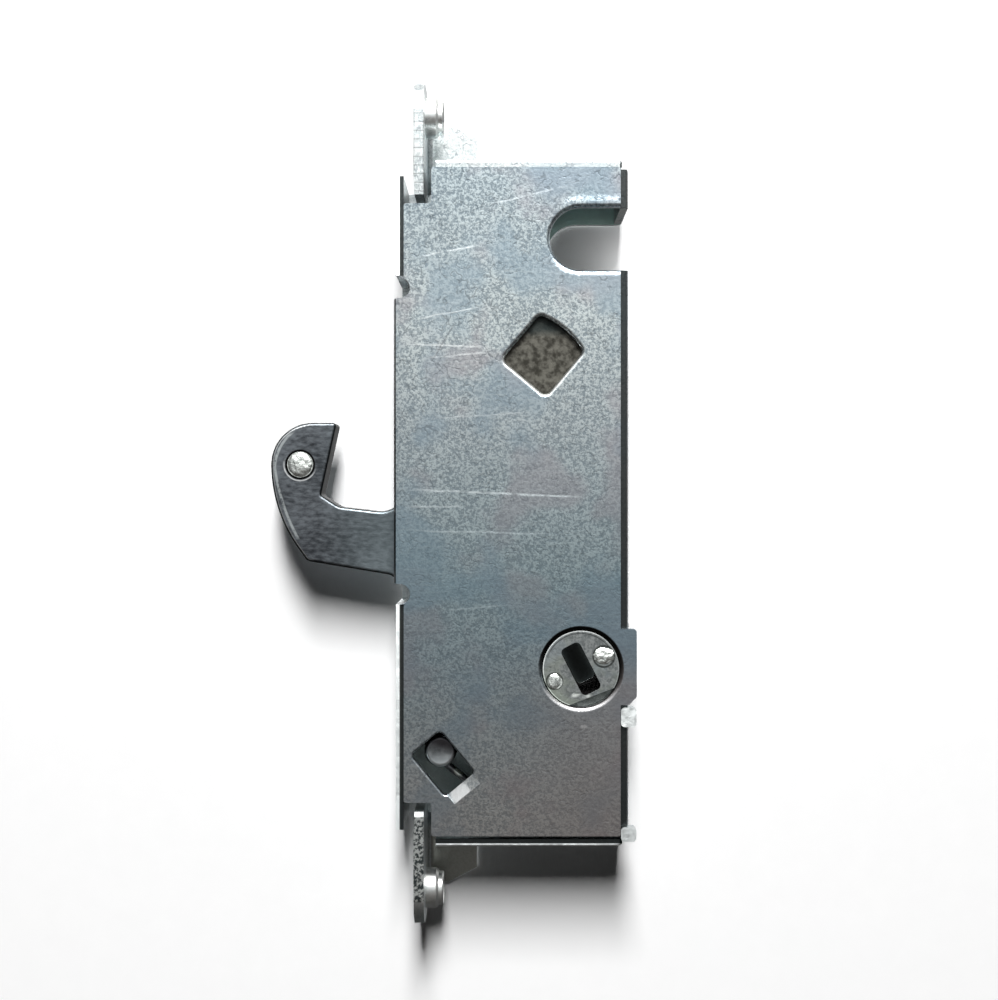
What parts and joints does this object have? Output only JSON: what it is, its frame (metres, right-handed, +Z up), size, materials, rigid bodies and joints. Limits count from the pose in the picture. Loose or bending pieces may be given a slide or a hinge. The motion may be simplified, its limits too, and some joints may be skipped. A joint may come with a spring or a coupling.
{
  "type": "sliding door mortise lock",
  "caption": "Stamped steel mortise lock for a sliding door, with an upward hook that swings out of a narrow case when a slotted hub is turned",
  "frame": {"origin": "midway between the two face screws, on the front of the two ears and in the middle of the case's thickness", "axes": "+Z up along the door's edge, -X out of the door's edge where the hook points, +Y through the case away from the cover"},
  "size_m": [0.0437, 0.0122, 0.1008],
  "materials": {
    "case_zinc": "bright zinc plate on stamped sheet steel",
    "cover_zinc": "bluish bright zinc plate, fine mottled spangle and light scratches",
    "nut_zinc": "bright zinc plate",
    "hook_steel": "dark grey zinc plate on blanked steel, rolled upper edges",
    "rivet_zinc": "peened bright steel",
    "pin_steel": "turned steel",
    "bush_brass": "turned brass",
    "washer_zinc": "zinc plate",
    "hub_zinc": "zinc plate, blanked steel",
    "cam_steel": "oiled blanked steel",
    "spring_steel": "drawn spring wire"
  },
  "bodies": {
    "case": {"case_tray": "case_zinc", "case_cover": "cover_zinc", "upper_clinch_nut": "nut_zinc", "lower_clinch_nut": "nut_zinc", "hook_pivot_post": "pin_steel", "hook_washer": "washer_zinc", "spring_post": "pin_steel", "toggle_spring": "spring_steel"},
    "hub": {"hub_front_journal": "hub_zinc", "hub_rear_journal": "hub_zinc", "hub_front_cam": "cam_steel", "hub_rear_cam": "cam_steel", "hub_core": "hub_zinc", "hub_rivets": "rivet_zinc", "hub_spring_pin": "pin_steel"},
    "hook": {"hook_plate_front": "hook_steel", "hook_plate_middle": "hook_steel", "hook_plate_rear": "hook_steel", "hook_tip_rivet": "rivet_zinc", "hook_body_rivets": "rivet_zinc", "hook_bush": "bush_brass", "hook_drive_pin": "pin_steel"}
  },
  "joints": [
    {"name": "hub_turn", "type": "hinge", "parent": "case", "child": "hub", "pos_m": [0.01973, 0, -0.01955], "axis": [0, 1, 0], "range_deg": [0, 45], "deforming": ["toggle_spring"]},
    {"name": "hook_swing", "type": "hinge", "parent": "case", "child": "hook", "pos_m": [0.0025, 0, 0.022], "axis": [0, -1, 0], "range_deg": [0, 42.11]}
  ],
  "couplings": [
    {"joint": "hook_swing", "follows": "hub_turn", "ratio": 0.93556}
  ]
}
